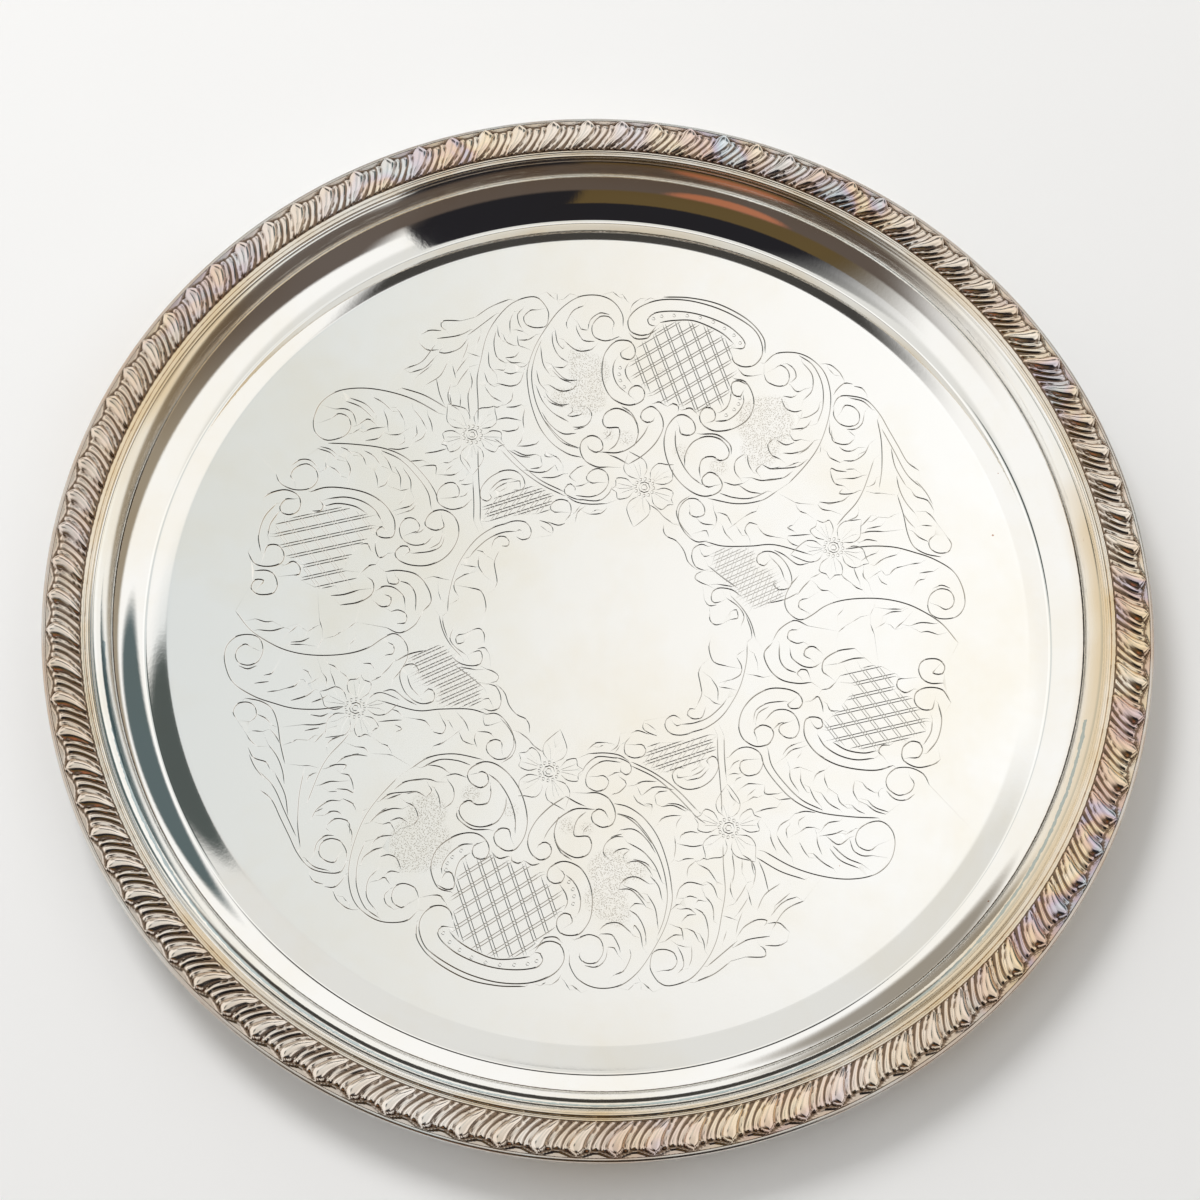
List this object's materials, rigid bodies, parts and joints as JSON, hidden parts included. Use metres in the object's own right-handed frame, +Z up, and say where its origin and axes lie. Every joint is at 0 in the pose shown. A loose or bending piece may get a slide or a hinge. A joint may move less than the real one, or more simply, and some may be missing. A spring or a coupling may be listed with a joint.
{
  "type": "offering plate",
  "caption": "Round shallow silver-plated tray used as an offering plate: engraved flat floor, cove wall and an applied gadroon border",
  "frame": {"origin": "centre of the ring that the plate rests on, on the table plane", "axes": "+Z up out of the well; the plate is round about Z, so X and Y are any two directions in the table plane"},
  "size_m": [0.318, 0.318, 0.0192],
  "materials": {
    "plated_sheet": "polished silver plate with light tarnish",
    "plated_mount": "silver plate with warm tarnish in the recesses",
    "solder": "dull grey solder",
    "plated_moulding": "polished silver plate",
    "plated_wire": "silver plate, darkened at the edge"
  },
  "bodies": {
    "root": {"tray_body": "plated_sheet", "gadroon_border": "plated_mount", "solder_fill": "solder", "fillet_ring": "plated_moulding", "edge_wire": "plated_wire"}
  },
  "joints": []
}
